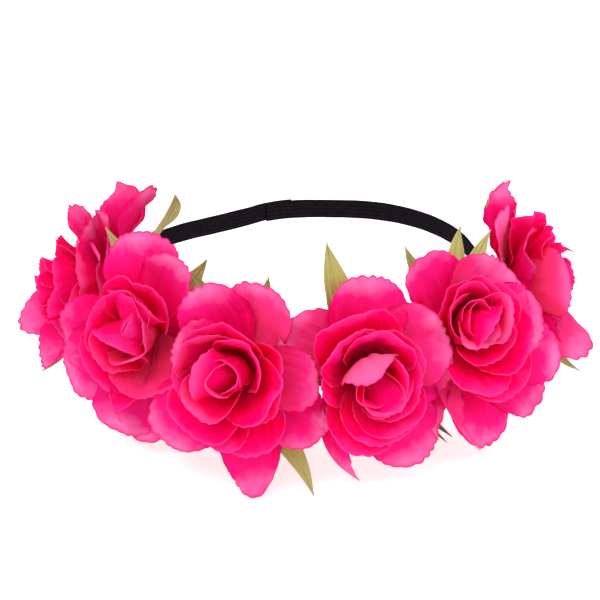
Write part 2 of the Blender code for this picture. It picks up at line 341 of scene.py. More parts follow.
GUARD_CLOTH = petal_material("petal_cloth_outer", ((0.0, (0.920, 0.0001, 0.084)),
                                                   (0.50, (0.920, 0.0002, 0.172)),
                                                   (0.77, (0.910, 0.014, 0.300)),
                                                   (1.0, (0.915, 0.245, 0.590))),
                             (0.850, 0.002, 0.180), 0.44)
# the cup petals' lighter edge colour is a painted highlight along their rims
CUP_CLOTH = petal_material("petal_cloth_cup", ((0.0, (0.965, 0.0001, 0.058)),
                                               (0.55, (0.960, 0.0001, 0.142)),
                                               (0.86, (0.950, 0.0003, 0.230)),
                                               (1.0, (0.930, 0.036, 0.385))),
                           (0.910, 0.080, 0.420), 0.54)
SEPAL_CLOTH = sepal_material()
CALYX_PLASTIC = plastic_material("calyx_green", (0.07, 0.11, 0.02), (0.16, 0.21, 0.05), 0.45)
PIN_PLASTIC = plastic_material("pin_pink", (0.70, 0.010, 0.13), (0.85, 0.03, 0.22), 0.5)
FELT = felt_material()
ELASTIC = elastic_material()
THREAD = plastic_material("tack_thread", (0.05, 0.045, 0.055), (0.17, 0.16, 0.19), 0.7)


# ---------------------------------------------------------------- petals

def smooth(low, high, x):
    """0 up to low, 1 from high, and an S-shaped rise between them."""
    t = np.clip((x - low) / (high - low), 0, 1)
    return t * t * (3 - 2 * t)


PETAL = {
    "width": 42.0,  # mm, at the widest
    "curl": 20.0,  # degrees that it turns up and in between its base and its tip
    "lip": -20.0,  # degrees that the end of it turns, outwards where negative
    "lip_from": 0.68,  # where the lip begins, as a share of the length
    "wrap": 0.6,  # 1 wraps round the rose's axis, 0 is flat across
    "bowl": 0.25,  # radians that each half bends towards the front, of its own
    "roll": 0.14,  # how far the side edges roll back, as a share of the half width
    "ruffle": 0.8,  # mm that the edge waves
    "tuck": 5.0,  # degrees that one side is lifted over the next petal
    "twist": 0.0,  # degrees that the tip turns about the petal's length
    "sweep": 0.0,  # degrees that the tip bends sideways
    "drop": 0.42,  # how much shorter the petal is at its sides
    "point": 0.0,  # mm of a drawn-out tip; negative is a notch
    "taper": 0.0,  # how far the width shrinks towards the tip, up to 1
    "pinch": 0.0,  # mm that the midline is creased back
    "base": 0.34,  # width at the base, as a share of the width
    "scallop": 0.75,  # mm that the cut edge bulges between its nicks
    "billow": 0.9,  # mm that its face swells and sinks
    "pale": 0.0,  # how much paler its colour is, up to 1; on a sepal, how withered
    "lip_highlight": 0.0,  # a painted highlight on its end, which pales it the same way, up to 1
}
SCALLOP_PITCH = 4.6  # mm
WIDEST_AT = 0.62  # the share of its length where a petal is widest
END_NARROWING = 0.16  # how much narrower its end is, as a share of its width
STEEPEST_BEND = 2.6  # radians that either half may bend
TIGHTEST_WRAP = 9.0 * MM  # the least distance from the axis that its wrap goes by
PLEAT_DEPTH = 0.45 * MM
LINE_END = 1.15  # where its middle line stops, in lengths: past the tip, for drawn-out ones


def meridian(shape, reach, rise):
    """The petal's middle line: shares of its length, with the distance from the axis, the height
    and the slope at each of them, and then the length itself.
    """
    steps = np.linspace(0, LINE_END, 70)
    turned_over = smooth(shape["lip_from"], 1.05, steps)
    turn = np.radians(shape["curl"] * steps ** 1.2 + shape["lip"] * turned_over)
    out = np.concatenate(([0], np.cumsum(np.cos(turn[:-1])))) * steps[1]
    up = np.concatenate(([0], np.cumsum(np.sin(turn[:-1])))) * steps[1]
    end_out, end_up = np.interp(1, steps, out), np.interp(1, steps, up)
    length = math.hypot(reach, rise) / math.hypot(end_out, end_up)
    tilt = math.atan2(rise, reach) - math.atan2(end_up, end_out)
    c, s = math.cos(tilt) * length, math.sin(tilt) * length
    return steps, HUB_RADIUS + out * c - up * s, out * s + up * c, turn + tilt, length


def cut_petal(shape, length, phase, columns, rows):
    """A petal as it is cut from flat cloth.

    Returns a grid, which runs from -1 to 1 across (u) and from 0 to 1 along (v), the place of each
    of its points on the cloth, and the bearing of each from the petal's middle.
    """
    half = shape["width"] * MM / 2
    across = np.linspace(-1, 1, columns)
    across = 0.65 * across + 0.35 * np.sin(across * math.pi / 2)  # closer together at the sides
    along = 1 - (1 - np.linspace(0, 1, rows)) ** 1.25  # and at the end
    u, v = np.meshgrid(across, along, indexing="ij")
    ends = 1 - shape["drop"] * (1 - np.sqrt(1 - 0.985 * np.abs(u) ** 2.6))
    ends = ends + shape["point"] * MM * np.exp(-((u / 0.2) ** 2)) / length
    t = v * ends
    swelling = np.sin(np.clip(t / WIDEST_AT, 0, 1) * math.pi / 2)
    wide = np.where(t < WIDEST_AT, shape["base"] + (1 - shape["base"]) * swelling,
                    1 - END_NARROWING * ((t - WIDEST_AT) / (1 - WIDEST_AT)) ** 2)
    wide = wide * np.maximum(1 - shape["taper"] * np.clip(t, 0, 1) ** 2.4, 0.04)
    x, y = u * half * wide, t * length

    middle = 0.5 * length
    around = np.arctan2(y - middle, x)
    bulges = math.pi * (half + middle) / (SCALLOP_PITCH * MM) / 2
    nicks = bulges * around + phase[0] + 1.5 * np.sin(2 * around + phase[1])
    nicks = np.abs(np.sin(nicks + 0.8 * np.sin(5 * around + phase[6])))
    border = smooth(0.84, 1.0, np.maximum(np.abs(u), v)) * smooth(0.12, 0.4, v)
    uneven = 0.75 + 0.45 * np.sin(4 * around + phase[2])
    push = shape["scallop"] * MM * (nicks - 0.55) * 1.6 * uneven * border
    return u, v, x + push * np.cos(around), y + push * np.sin(around), around


def crumpled(depth, shape, u, t, around, phase):
    """The depth of a petal's face with its wavy edge, its billows and the pleats at its base."""
    edge = np.maximum(smooth(0.4, 1.0, np.abs(u)) * smooth(0.15, 0.6, t), smooth(0.5, 1.0, t))
    waves = np.sin(4 * around + phase[3]) + 0.6 * np.sin(7 * around + phase[4])
    waves = waves + 0.15 * np.sin(15 * around + phase[5])
    depth = depth + shape["ruffle"] * MM * edge * waves
    billows = np.sin(2.2 * u + phase[6]) * np.sin(3 * t + phase[7])
    depth = depth + shape["billow"] * MM * billows * smooth(0.1, 0.5, t)
    creases = np.sin(11 * u + phase[1]) + 0.7 * np.sin(19 * u + phase[2])
    pleats = (0.5 + 0.5 * np.sin(3 * u + phase[4])) * smooth(0.02, 0.15, t) * (1 - smooth(0.45, 1.0, t))
    return depth + PLEAT_DEPTH * creases * pleats


def grid_area(x, y):
    """The area of a flat grid of points."""
    dx = np.stack((x[:-1, 1:] - x[1:, :-1], y[:-1, 1:] - y[1:, :-1]))
    dy = np.stack((x[1:, 1:] - x[:-1, :-1], y[1:, 1:] - y[:-1, :-1]))
    return float(np.abs(dx[0] * dy[1] - dx[1] * dy[0]).sum() / 2)


def petal(at, radius, height, shape, hub, seed, columns=49, rows=31):
    """A petal from its hub to a tip that stands radius from the axis and height above the elastic.

    Returns its points in the rose's own axes, its faces, its attributes and its flat area.
    """
    rng = np.random.default_rng(seed)
    phase = rng.uniform(0, 2 * math.pi, 8)
    steps, r_line, w_line, angle, length = meridian(shape, radius * MM - HUB_RADIUS, height * MM - hub)
    half = shape["width"] * MM / 2
    u, v, x, y, around = cut_petal(shape, length, phase, columns, rows)
    t = y / length

    # Bent across: side is along the width and depth is towards the front of the face.
    theta = np.interp(t, steps, angle)
    r = np.interp(t, steps, r_line)
    w = np.interp(t, steps, w_line)
    bowl = shape["bowl"] * rng.uniform(0.5, 1.5)
    bend = shape["wrap"] * np.sin(theta) / np.maximum(r, TIGHTEST_WRAP) + bowl / half
    bend = np.where(np.abs(bend) < 1e-3, 1e-3, bend)  # never quite flat, because it divides
    turned = np.clip(bend * x, -STEEPEST_BEND, STEEPEST_BEND)
    side = np.sin(turned) / bend
    depth = (1 - np.cos(turned)) / bend
    rolls = np.where(u < 0, rng.uniform(0.3, 1.7), rng.uniform(0.3, 1.7))
    depth = depth - shape["roll"] * rolls * half * np.abs(u) ** 4 * smooth(0.3, 0.95, t)
    depth = crumpled(depth, shape, u, t, around, phase)
    depth = depth + np.tan(math.radians(shape["tuck"])) * side
    depth = depth - shape["pinch"] * MM * np.exp(-((u / 0.12) ** 2)) * smooth(0.0, 0.5, t)
    spin = math.radians(shape["twist"]) * np.clip(t, 0, 1.2)
    side, depth = (side * np.cos(spin) - depth * np.sin(spin),
                   side * np.sin(spin) + depth * np.cos(spin))

    # Placed round the rose's axis: r away from it and w above the elastic.
    r = r - np.sin(theta) * depth
    w = w + np.cos(theta) * depth + hub
    turn = np.radians(at + shape["sweep"] * t ** 2)
    points = np.stack((r * np.cos(turn) + side * np.sin(turn), r * np.sin(turn) - side * np.cos(turn), w),
                      axis=-1).reshape(-1, 3)
    corner = np.arange(columns * rows).reshape(columns, rows)
    faces = np.stack((corner[:-1, :-1], corner[:-1, 1:], corner[1:, 1:], corner[1:, :-1]),
                     axis=-1).reshape(-1, 4)
    # tone: the petal's paleness, the painted highlight on its lip and a slight random tone
    pale_and_lip_highlight = shape["pale"] + shape["lip_highlight"] * smooth(0.78, 1.0, t) + rng.uniform(0, 0.012)
    facts = {
        "along": t,
        "rim": np.maximum(smooth(0.93, 1.0, np.abs(u)) * smooth(0.1, 0.4, v), smooth(0.955, 1.0, v)),
        "tone": np.clip(pale_and_lip_highlight, 0, 1),
        "cloth": np.stack((x, y, np.zeros_like(t)), axis=-1),
        "fan": np.stack((u + at, t, np.zeros_like(t)), axis=-1),
    }
    return points, faces, facts, grid_area(x, y)


def hub_disc(hub, radius, sides=16):
    """The rosette's middle: a flat ring of cloth round the pin."""
    turns = np.linspace(0, 2 * math.pi, sides, endpoint=False)
    inner = np.stack((np.cos(turns), np.sin(turns), np.zeros(sides)), axis=-1)
    points = np.concatenate((inner * HUB_HOLE, inner * radius)) + (0, 0, hub)
    i = np.arange(sides)
    j = (i + 1) % sides
    faces = np.stack((i, i + sides, j + sides, j), axis=-1)
    zero = np.zeros(2 * sides)
    facts = {"along": zero, "rim": zero, "tone": zero, "cloth": points, "fan": points}
    return points, faces, facts, math.pi * radius ** 2


def joined(parts):
    """Several (points, faces, facts, area) as one."""
    starts = np.cumsum([0] + [len(points) for points, _, _, _ in parts])
    points = np.concatenate([part[0] for part in parts])
    faces = np.concatenate([part[1] + start for part, start in zip(parts, starts[:-1], strict=True)])
    facts = {}
    for key in parts[0][2]:
        columns = (-1, 3) if key in ("cloth", "fan") else (-1,)
        facts[key] = np.concatenate([part[2][key].reshape(columns) for part in parts])
    return points, faces, facts, sum(part[3] for part in parts)


def mesh_object(name, points, faces, facts, material):
    """A smooth-shaded mesh with its attributes, in the scene."""
    mesh = bpy.data.meshes.new(name)
    mesh.from_pydata(points.tolist(), [], faces)
    for key, value in facts.items():
        if value.ndim == 2:
            mesh.attributes.new(key, "FLOAT_VECTOR", "POINT").data.foreach_set("vector", value.ravel())
        else:
            mesh.attributes.new(key, "FLOAT", "POINT").data.foreach_set("value", value)
    mesh.shade_smooth()
    mesh.materials.append(material)
    obj = bpy.data.objects.new(name, mesh)
    bpy.context.scene.collection.objects.link(obj)
    return obj


def rose_place(number):
    """The matrix from a rose's own axes to the frame, read from its felt and its pin."""
    felt = np.array([v.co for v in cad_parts[f"rose_{number}_felt_backing"].data.vertices])
    pin = np.array([v.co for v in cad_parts[f"rose_{number}_pin"].data.vertices])
    middle = Vector(felt.mean(axis=0))
    out = (Vector(pin.mean(axis=0)) - middle).normalized()
    right = Vector((0, 0, 1)).cross(out).normalized()
    up = out.cross(right)
    face = max((Vector(v) - middle).dot(out) for v in felt)
    origin = middle + out * (face + ELASTIC_GAP)
    return Matrix.Translation(origin) @ Matrix((right, up, out)).transposed().to_4x4()


def rosette(number, node, petals, hub, hub_radius, material, nod):
    """One cut rosette of a rose, in place of its CAD node.

    nod is how far the bloom above the hub leans to the right and up, per unit of height.
    """
    parts = [hub_disc(hub, hub_radius)]
    for i, (at, radius, height, shape) in enumerate(petals):
        seed = 1000 * number + 100 * len(node) + i
        parts.append(petal(at, radius, height, shape, hub + PETAL_STEP * i, seed))
    points, faces, facts, area = joined(parts)
    name = f"rose_{number}_{node}"
    points[:, :2] += np.maximum(points[:, 2:] - hub, 0) * nod
    obj = mesh_object(name + "_cloth", points, faces.tolist(), facts, material)
    obj.data.transform(rose_place(number))
    solid = obj.modifiers.new("cloth", "SOLIDIFY")
    solid.thickness = CLOTH_THICKNESS
    solid.offset = 0.0
    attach(obj, "garland")
    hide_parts(name)


# ---------------------------------------------------------------- the six roses
# Each petal is (direction, radius, height, shape). The direction is in degrees round the rose's face,
# 0 to its right and 90 up. The tip stands radius mm from the rose's axis and height mm above the
# elastic. The shape gives what differs from its layer's usual one.

FOLDED = {"bowl": 1.15, "roll": 0.02, "wrap": 0.2}  # along its length
NARROW = {**FOLDED, "taper": 0.5, "point": 3, "drop": 0.65}
DRAWN = {"taper": 0.40, "point": 4, "lip": 30, "lip_from": 0.84, "bowl": 0.5, "drop": 0.6}  # to a tip
FACING = {"wrap": 0.1, "bowl": 0.2, "tuck": 0.0}  # turned by its twist, so nothing else bends it much

ROSES = {
    1: {
        "guard": (
            (75, 58, -5, {"width": 25, "curl": -10, "twist": 75, "drop": 0.62, **FACING}),
            (97, 48, 6, {"width": 40, **DRAWN, **FACING, "taper": 0.3, "twist": 80}),
            (120, 40, 27, {"width": 40, "twist": 40, **FACING}),
            (88, 36, 20, {"width": 36, **FACING, "twist": 70, "drop": 0.5}),
            (67, 40, 18, {"width": 46}),
            (30, 35, 25, {"width": 42}),
            (-35, 40, 24, {"width": 38}),
            (-90, 42, 45, {"width": 36, **FOLDED, "curl": 40}),
            (-134, 45, 52, {"width": 27, "curl": 30, "taper": 0.3, "pale": 0.3}),
            (172, 42, 22, {}),
        ),
        "second": (
            (127, 25, 35, {"width": 44, "ruffle": 1.8}),
            (34, 24, 33, {"width": 46, "curl": 70, "lip": -12, "lip_highlight": 0.5}),
            (-15, 21, 39, {"width": 44, "curl": 75, "lip": -12, "lip_highlight": 0.5}),
            (-95, 24, 38, {"width": 42, "ruffle": 1.8}),
            (180, 25, 34, {"width": 44}),
        ),
        "third": (
            (135, 15, 45, {"width": 34, "ruffle": 1.6}),
            (50, 16, 43, {"width": 36, "curl": 65, "lip": -12}),
            (-20, 13, 46, {"width": 36, "curl": 65, "lip": -12}),
            (-120, 17, 45, {"width": 36, "ruffle": 1.6}),
        ),
        "inner": ((20, 6, 50, {}), (130, 7, 49, {}), (-110, 7, 48, {})),
        "sepals": ((67, 58, -14, {"width": 30, "twist": 72, "lip": 35, **FACING}), (150, 40, 12, {}),
                   (20, 38, 10, {}), (-45, 40, 14, {}), (-92, 44, 46, {"width": 9})),
    },
    2: {
        "nod": (0.0, 0.22),
        "guard": (
            (104, 47, 14, {"width": 42}),
            (70, 40, 19, {"width": 34, "bowl": 0.4}),
            (-165, 45, 17, {"width": 40}),
            (-139, 49, 14, {"width": 38}),
            (-99, 52, 12, {"width": 40}),
            (-84, 53, 8, {"width": 34}),
            (8, 38, 14, {}),
            (-40, 40, 10, {}),
        ),
        "second": (
            (85, 26, 34, {"width": 46}),
            (165, 20, 37, {"width": 44}),
            (-15, 14, 44, {"width": 50, "curl": 60, "lip": -35, "pale": 0.2, "lip_highlight": 0.6}),
            (-54, 31, 30, {"width": 40, "tuck": 20, "bowl": 0.5, "roll": 0.3, "pale": 0.2}),
            (-127, 29, 31, {"width": 40}),
            (-100, 31, 28, {"width": 36}),
        ),
        "third": (
            (-88, 40, 36, {"width": 25, **FOLDED, "taper": 0.4, "point": 3, "lip": 0}),
            (-112, 23, 37, {"width": 34, "pinch": 1.5, "ruffle": 1.6, "lip_highlight": 0.3}),
            (85, 14, 44, {"width": 38, "curl": 60}),
            (41, 15, 42, {"width": 36, "curl": 60}),
        ),
        "inner": ((165, -2, 42, {"curl": 95, "lip": 0, "width": 46, "drop": 0.6}),
                  (-20, 3, 42, {"curl": 110, "lip": 0, "width": 50, "drop": 0.6}),
                  (78, -11, 44, {"curl": 95, "lip": 0, "width": 48, "drop": 0.6}),
                  (-104, -14, 41, {"curl": 100, "lip": 0, "width": 54, "drop": 0.7})),
        "sepals": ((127, 54, 8, {}), (-89, 51, 6, {"width": 9}), (60, 44, 6, {}), (-10, 36, 8, {}),
                   (-160, 40, 8, {})),
    },
    3: {
        "guard": (
            (120, 42, 20, {"width": 37}),
            (76, 41.5, 18, {"width": 36, "pale": 0.2}),
            (-1, 41, 27, {"width": 31, "pale": 0.1}),
            (-36, 49, 15, {"width": 31}),
            (-80, 61, 15, {"width": 34, "drop": 0.6, "taper": 0.25}),
            (-134, 54, 15, {"width": 37}),
            (165, 32, 22, {"width": 38}),
        ),
        "second": (
            (109, 25, 40, {"width": 48}),
            (-10, 27, 37, {"width": 46}),
            (-67, 39, 32, {"width": 34}),
            (-122, 33, 37, {"width": 48, "lip": -60, "bowl": 0.4}),
            (170, 24, 40, {"width": 44}),
        ),
        "third": (
            (52, 20, 44, {"width": 42}),
            (-23, 26, 44, {"width": 40}),
            (-90, 36, 34, {"width": 28, **FOLDED}),
            (143, 23, 44, {"width": 42, "curl": 75, "pale": 0.2}),
        ),
        "inner": ((80, 9, 46, {"width": 38, "curl": 70}),
                  (-8, -13, 51, {"width": 42, "curl": 98, "lip": 0, "drop": 0.6, "lip_highlight": 0.3}),
                  (-130, 21, 46, {"width": 44, "bowl": 0.7, "lip": -30, "lip_highlight": 0.5}),
                  (-165, 5, 50, {"width": 36, "bowl": 0.6, "curl": 70, "lip_highlight": 0.6}),
                  (-50, 6, 47, {"width": 32, "curl": 70})),
        "sepals": ((126, 50, 8, {"pale": 0.4}), (79, 43, 8, {}), (-57, 68, 10, {"width": 16}),
                   (12, 38, 8, {}), (-150, 42, 8, {})),
    },
    4: {
        "guard": (
            (147, 43, 13, {"width": 33, "pale": 0.2}),
            (84, 44, 16, {"width": 39}),
            (21, 42, 18, {"width": 42, "pale": 0.1}),
            (0, 43, 12, {"width": 40}),
            (-61, 53, 16, {"width": 38}),
            (-134, 49, 18, {"width": 24, **NARROW, "sweep": 34}),
            (-160, 33, 24, {"width": 20, **NARROW, "point": 0, "sweep": 28}),
        ),
        "second": (
            (110, 34, 37, {"width": 46}),
            (62, 24, 41, {"width": 50}),
            (-26, 21, 40, {"width": 44}),
            (-103, 36, 34, {"width": 38}),
            (160, 24, 36, {"width": 42}),
        ),
        "third": (
            (79, 24, 44, {"width": 42}),
            (-61, 28, 38, {"width": 40}),
            (-84, 30, 38, {"width": 40}),
            (129, 28, 43, {"width": 40}),
        ),
        "inner": ((115, 4, 46, {"width": 33, "curl": 30, "lip": 110, "lip_from": 0.55, "pale": 0.8,
                                "wrap": 0.6, "ruffle": 1.2}),
                  (-75, 15, 45, {"width": 42, "bowl": 0.5, "lip": -30, "lip_highlight": 0.5}),
                  (-145, 11, 44, {"width": 34}), (10, 14, 44, {"width": 34}),
                  (128, -15, 44, {"width": 38, "curl": 88, "lip": 0, "drop": 0.5})),
        "sepals": ((102, 60, 6, {"width": 18}), (-42.5, 57.5, 10, {"width": 8, "pale": 0.8}),
                   (-46, 57, 11, {"width": 7, "pale": 0.8}), (-166, 24, 12, {}), (20, 40, 8, {})),
    },
    5: {
        "nod": (-0.25, 0.28),
        "guard": (
            (107, 40, 14, {"width": 34}),
            (42, 37.5, 20.5, {"width": 44, "pale": 0.15}),
            (-3, 39, 25, {"width": 38}),
            (-28, 56, 16, {"width": 34}),
            (-53, 57, 13, {"width": 31}),
            (-88, 56, 14, {"width": 34}),
            (-139, 53, 29, {"width": 22, **NARROW, "sweep": 34, "pale": 0.2}),
            (-148, 50, 22, {"width": 24, **NARROW, "sweep": 24}),
        ),
        "second": (
            (117, 25, 36, {"width": 36}),
            (65, 22, 39, {"width": 46}),
            (-34, 26, 37, {"width": 44}),
            (-70, 36, 31, {"width": 42}),
            (-107, 31, 37, {"width": 40, "lip": -60}),
        ),
        "third": (
            (40, 18, 42, {"width": 38}),
            (100, 15, 44, {"width": 38, "curl": 60}),
            (-60, 24, 40, {"width": 38}),
            (170, 14, 44, {"width": 34, "curl": 60}),
        ),
        "inner": ((-20, 20, 42, {"width": 46, "lip": -60, "bowl": 0.7, "lip_highlight": 0.8}),
                  (-95, 15, 43, {"width": 34, "lip": -90, "lip_highlight": 1.0}),
                  (150, 5, 46, {"width": 34, "curl": 65}), (90, 7, 46, {"width": 34, "curl": 65}),
                  (135, -10, 49, {"width": 44, "curl": 98, "lip": 0, "drop": 0.6})),
        "sepals": ((109, 47, 6, {}), (69, 50, 4, {"width": 17}), (52, 53, 6, {"width": 18}),
                   (-20, 55, 9, {}), (-100, 46, 8, {})),
    },
    6: {
        "guard": (
            (70, 44, 11, {"width": 25, **DRAWN, **FACING, "twist": 60}),
            (96, 50, 16, {"width": 26, **DRAWN, **FACING, "twist": 60}),
            (115, 48, 13, {"width": 25, "pale": 0.4}),
            (130, 36, 24, {"width": 34, "bowl": 0.8}),
            (-101, 41, 47, {"width": 26, "curl": 40, "twist": -55, **FACING, "pale": 0.2}),
            (-97, 40, 34, {"width": 24, **FOLDED}),
            (-150, 40, 25, {"width": 38}),
            (30, 42, 14, {}),
            (-30, 40, 14, {}),
        ),
        "second": (
            (81, 32, 26, {"width": 38, "ruffle": 2.2, "twist": 35}),
            (174, 21, 43, {"width": 44, "curl": 75, "lip": -15, "pale": 0.25, "lip_highlight": 0.6}),
            (-130, 19, 35, {"width": 38, "curl": 70, "lip": -12}),
            (10, 24, 34, {"width": 44}),
            (-60, 25, 34, {"width": 44}),
        ),
        "third": (
            (90, 24, 35, {"width": 30, "ruffle": 1.8}),
            (150, 15, 39, {"width": 36, "curl": 65, "lip": -12}),
            (-90, 18, 40, {"width": 36, "curl": 65, "lip": -12}),
            (0, 17, 38, {"width": 36}),
        ),
        "inner": ((90, 13, 42, {"width": 20, **DRAWN}), (-150, 7, 43, {}), (-30, 7, 43, {})),
        "sepals": ((-102, 49, 42, {"width": 21, "twist": -35}), (150, 40, 8, {}), (80, 40, 6, {}),
                   (10, 38, 8, {}), (-45, 40, 8, {})),
    },
}

# What each layer's shapes have in common, and how its rosette is made.
USUAL = {
    "guard": {"curl": 18, "lip": -24, "ruffle": 1.3, "billow": 1.6},
    "second": {"curl": 48, "lip": -46, "wrap": 0.9, "bowl": 0.1, "ruffle": 1.2, "scallop": 0.5},
    "third": {"curl": 44, "lip": -42, "wrap": 1.0, "bowl": 0.1, "width": 38, "ruffle": 1.1, "scallop": 0.5},
    "inner": {"curl": 40, "lip": -36, "wrap": 1.0, "bowl": 0.15, "width": 28, "scallop": 0.5},
    "sepals": {"width": 14, "curl": 12, "lip": 25, "bowl": 0.45, "ruffle": 0.4, "taper": 1.0, "base": 0.5,
               "drop": 0.0, "scallop": 0.1, "pinch": 0.5, "roll": 0.0, "tuck": 0.0, "billow": 0.3},
}
LAYERS = (
    # layer, the end of its node's name, its hub's height and radius (in mm), cloth, slot
    ("sepals", "sepals", SEPAL_HUB, 7.0, SEPAL_CLOTH, "sepal_fabric"),
    ("guard", "petals_guard", GUARD_HUB, 7.5, GUARD_CLOTH, "petal_outer"),
    ("second", "petals_second", SECOND_HUB, 6.6, CUP_CLOTH, "petal_inner"),
    ("third", "petals_third", THIRD_HUB, 5.7, CUP_CLOTH, "petal_inner"),
    ("inner", "petals_inner", INNER_HUB, 4.8, CUP_CLOTH, "petal_inner"),
)
BUD = {"width": 17, "curl": 95, "lip": 0, "wrap": 1.3}
CORE = ((40, 2, 33, BUD), (160, 2, 34, BUD), (-80, 3, 35, BUD))  # closes over the pin in every rose


def felt_pad(number, sides=72):
    """The round felt backing: scissor-cut a little unevenly, with a soft rim and a dimpled face."""
    rng = np.random.default_rng(number)
    phase = rng.uniform(0, 2 * math.pi, 4)
    turns = np.linspace(0, 2 * math.pi, sides, endpoint=False)
    cut = 1 + 0.012 * np.sin(3 * turns + phase[0]) + 0.008 * np.sin(7 * turns + phase[1])
    cut = cut - 0.010 * np.abs(np.sin(4.5 * turns + phase[2]))
    half = FELT_THICKNESS / 2
    rim = np.linspace(-math.pi / 2, math.pi / 2, 7)
    face = (0.0, 0.35, 0.7, 0.9)  # the rings of points on each face, as shares of the radius
    spans = np.concatenate((face, 1 - 0.045 * (1 - np.cos(rim)), face[::-1]))
    heights = np.concatenate((np.full(len(face), -half), half * np.sin(rim), np.full(len(face), half)))
    on_face = np.abs(heights)[:, None] > 0.9 * half
    dimples = FELT_DIMPLE * rng.uniform(-1, 1, (len(spans), sides)) * on_face
    dimples[0] = dimples[-1] = 0
    out = FELT_RADIUS * spans[:, None] * cut
    deep = heights[:, None] - ELASTIC_GAP - half + dimples
    points = np.stack((out * np.cos(turns), out * np.sin(turns), deep), axis=-1)
    points = np.concatenate((points[:1, 0], points[1:-1].reshape(-1, 3), points[-1:, 0]))
    corner = np.arange((len(spans) - 2) * sides).reshape(-1, sides) + 1
    beside = np.roll(corner, -1, axis=1)
    faces = np.stack((corner[:-1], beside[:-1], beside[1:], corner[1:]), axis=-1).reshape(-1, 4).tolist()
    last = len(points) - 1
    faces += [[0, int(b), int(a)] for a, b in zip(corner[0], beside[0], strict=True)]
    faces += [[last, int(a), int(b)] for a, b in zip(corner[-1], beside[-1], strict=True)]
    name = f"rose_{number}_felt_backing"
    obj = mesh_object(name + "_pad", points, faces, {}, FELT)
    obj.data.transform(rose_place(number))
    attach(obj, "garland")
    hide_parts(name)


def make_rose(number, rose):
    """A rose: its five rosettes and its felt pad, and the looks of its calyx and its pin."""
    for layer, node, hub, hub_radius, cloth, slot in LAYERS:
        petals = [(at, radius, height, {**PETAL, **USUAL[layer], **shape})
                  for at, radius, height, shape in rose[layer] + (CORE if layer == "inner" else ())]
        nod = rose.get("nod", (0.0, 0.0)) if layer in ("third", "inner") else (0.0, 0.0)
        rosette(number, node, petals, hub, hub_radius * MM, cloth, nod)
    felt_pad(number)
    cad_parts[f"rose_{number}_calyx"].data.materials[0] = CALYX_PLASTIC
    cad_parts[f"rose_{number}_pin"].data.materials[0] = PIN_PLASTIC


for rose_number, rose_data in ROSES.items():
    make_rose(rose_number, rose_data)


# ---------------------------------------------------------------- elastic

def ring_centre():
    """The middle of the ring, at the height of the elastic behind the roses."""
    left, right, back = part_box("elastic_left_run"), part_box("elastic_right_run"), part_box("elastic_back")
    middle = (back[0].z + back[1].z) / 2 - FREE_RISE
    return Vector(((left[0].x + right[1].x) / 2, back[1].y - BACK_RADIUS, middle))


def free_elastic():
    """The middle line of the free elastic: azimuth, radius and height of each of its stations.

    Azimuth is in degrees round the ring from the forehead, towards +X.
    """
    corners = []
    for node in ("elastic_right_run", "elastic_back", "elastic_left_run"):
        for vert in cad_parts[node].data.vertices:
            away = vert.co - RING_CENTRE
            corners.append((math.degrees(math.atan2(away.x, -away.y)) % 360,
                            math.hypot(away.x, away.y), away.z))
    corners = np.array(sorted(corners))
    starts = np.flatnonzero(np.diff(corners[:, 0]) > STATION_GAP) + 1
    return np.array([group.mean(axis=0) for group in np.split(corners, starts)]).T


def free_points(first, last, count=30):
    """Points along the free elastic from one azimuth to another, with their upward directions."""
    azimuths, radii, heights = free_elastic()
    at = np.linspace(first, last, count)
    out = np.interp(at, azimuths, radii)
    if last == OUTER_END:
        out = out + OVERLAP_RISE * (1 - smooth(OVER_FROM, OVER_BY, at))
    points = np.stack((out * np.sin(np.radians(at)), -out * np.cos(np.radians(at)),
                       np.interp(at, azimuths, heights)), axis=-1)
    return points + np.array(RING_CENTRE), np.tile((0.0, 0.0, 1.0), (len(at), 1))


def rose_points(number):
    """The two ends of the flat length behind a rose, with their upward directions."""
    place = np.array(rose_place(number))
    ends = [place @ (side * FLAT_HALF, 0, -STRIP_THICKNESS / 2, 1) for side in (1, -1)]
    return np.array(ends)[:, :3], np.tile(place[:3, 1], (2, 1))


def smoothed(rows, spread):
    """Rows of numbers, blurred along the strip; its ends stay where they are."""
    reach = int(3 * spread)
    weights = np.exp(-0.5 * (np.arange(-reach, reach + 1) / spread) ** 2)
    padded = np.pad(rows, ((reach, reach), (0, 0)), mode="reflect", reflect_type="odd")
    return np.stack([np.convolve(column, weights / weights.sum(), "valid") for column in padded.T], axis=-1)


def strip_line():
    """The one strip's middle line, from its inner end round the front to its outer end."""
    pieces = [free_points(INNER_END, RIGHT_END)]
    pieces += [rose_points(number) for number in range(6, 0, -1)]
    pieces.append(free_points(LEFT_END, OUTER_END))
    points = np.concatenate([piece[0] for piece in pieces])
    ups = np.concatenate([piece[1] for piece in pieces])
    run = np.concatenate(([0], np.cumsum(np.linalg.norm(np.diff(points, axis=0), axis=1))))
    even = np.linspace(0, run[-1], round(run[-1] / STRIP_STEP))
    points = np.stack([np.interp(even, run, column) for column in points.T], axis=-1)
    ups = np.stack([np.interp(even, run, column) for column in ups.T], axis=-1)
    return smoothed(points, LINE_BLUR / STRIP_STEP), smoothed(ups, TURN_BLUR / STRIP_STEP)


def unit(rows):
    """Rows of numbers as directions, each one long."""
    return rows / np.linalg.norm(rows, axis=1, keepdims=True)


def tube_faces(length, around):
    """The faces of a tube of that many rings, each with that many points, and of its two ends."""
    corner = np.arange(length * around).reshape(-1, around)
    beside = np.roll(corner, -1, axis=1)
    faces = np.stack((corner[:-1], corner[1:], beside[1:], beside[:-1]), axis=-1).reshape(-1, 4).tolist()
    return faces + [corner[0].tolist(), corner[-1][::-1].tolist()]


